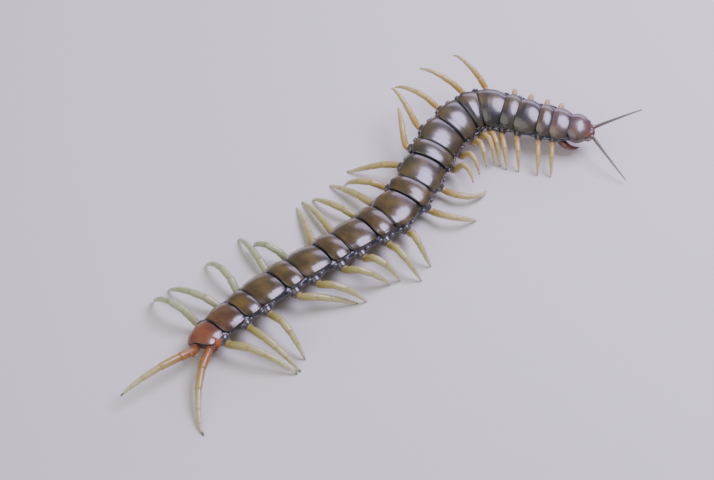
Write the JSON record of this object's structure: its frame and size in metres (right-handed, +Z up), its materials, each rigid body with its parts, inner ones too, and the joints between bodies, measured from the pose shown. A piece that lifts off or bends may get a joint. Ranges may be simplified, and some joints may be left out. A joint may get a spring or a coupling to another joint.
{
  "type": "giant centipede",
  "caption": "Life-size still model of a giant centipede in a bent walking pose, with overlapping back plates, jointed legs, antennae and poison claws; it stands on its legs.",
  "frame": {"origin": "centre of the bounding box at floor level, z = 0 where the legs stand", "axes": "+X towards the head end of the bent trunk, +Y away from the viewer, towards the outside of the bend, +Z up"},
  "size_m": [0.2073, 0.1786, 0.0244],
  "materials": {
    "back_shell": "glossy dark brown shell of the hind back plates, as if wet",
    "front_shell": "glossy slate grey shell of the front back plates, as if wet",
    "tail_shell": "glossy rust orange shell of the last plate",
    "head_shell": "glossy reddish brown head plate",
    "leg_amber": "satin translucent amber shell of the front legs",
    "leg_olive": "satin translucent pale olive shell of the hind legs",
    "terminal_orange": "satin orange brown shell of the terminal legs",
    "antenna_grey": "satin grey green shell of the antennae",
    "poison_claw": "glossy dark red brown shell of the poison claws",
    "underside": "satin brown shell of the mouth parts and the claws' base plate",
    "eye_black": "glossy black lenses of the eye clusters"
  },
  "bodies": {
    "root": {"head": "head_shell", "antenna_left": "antenna_grey", "antenna_right": "antenna_grey", "eyes_left": "eye_black", "eyes_right": "eye_black", "forcipule_base": "underside", "forcipule_left": "poison_claw", "forcipule_right": "poison_claw", "maxillae": "underside", "trunk_01_03": "front_shell", "trunk_04_05": "front_shell", "trunk_06_08": "front_shell", "trunk_09_11": "front_shell", "trunk_12_14": "back_shell", "trunk_15_17": "back_shell", "trunk_18_20": "back_shell", "trunk_21": "tail_shell", "leg_right_01": "leg_amber", "leg_right_02": "leg_amber", "leg_right_03": "leg_amber", "leg_right_04": "leg_amber", "leg_right_05": "leg_amber", "leg_right_06": "leg_amber", "leg_right_07": "leg_amber", "leg_right_08": "leg_amber", "leg_right_09": "leg_amber", "leg_right_10": "leg_olive", "leg_right_11": "leg_olive", "leg_right_12": "leg_olive", "leg_right_13": "leg_olive", "leg_right_14": "leg_olive", "leg_right_15": "leg_olive", "leg_right_16": "leg_olive", "leg_right_17": "leg_olive", "leg_right_18": "leg_olive", "leg_right_19": "leg_olive", "leg_right_20": "leg_olive", "leg_left_01": "leg_amber", "leg_left_02": "leg_amber", "leg_left_03": "leg_amber", "leg_left_04": "leg_amber", "leg_left_05": "leg_amber", "leg_left_06": "leg_amber", "leg_left_07": "leg_amber", "leg_left_08": "leg_amber", "leg_left_09": "leg_amber", "leg_left_10": "leg_olive", "leg_left_11": "leg_olive", "leg_left_12": "leg_olive", "leg_left_13": "leg_olive", "leg_left_14": "leg_olive", "leg_left_15": "leg_olive", "leg_left_16": "leg_olive", "leg_left_17": "leg_olive", "leg_left_18": "leg_olive", "leg_left_19": "leg_olive", "leg_left_20": "leg_olive", "terminal_leg_left": "terminal_orange", "terminal_leg_right": "terminal_orange"}
  },
  "joints": []
}
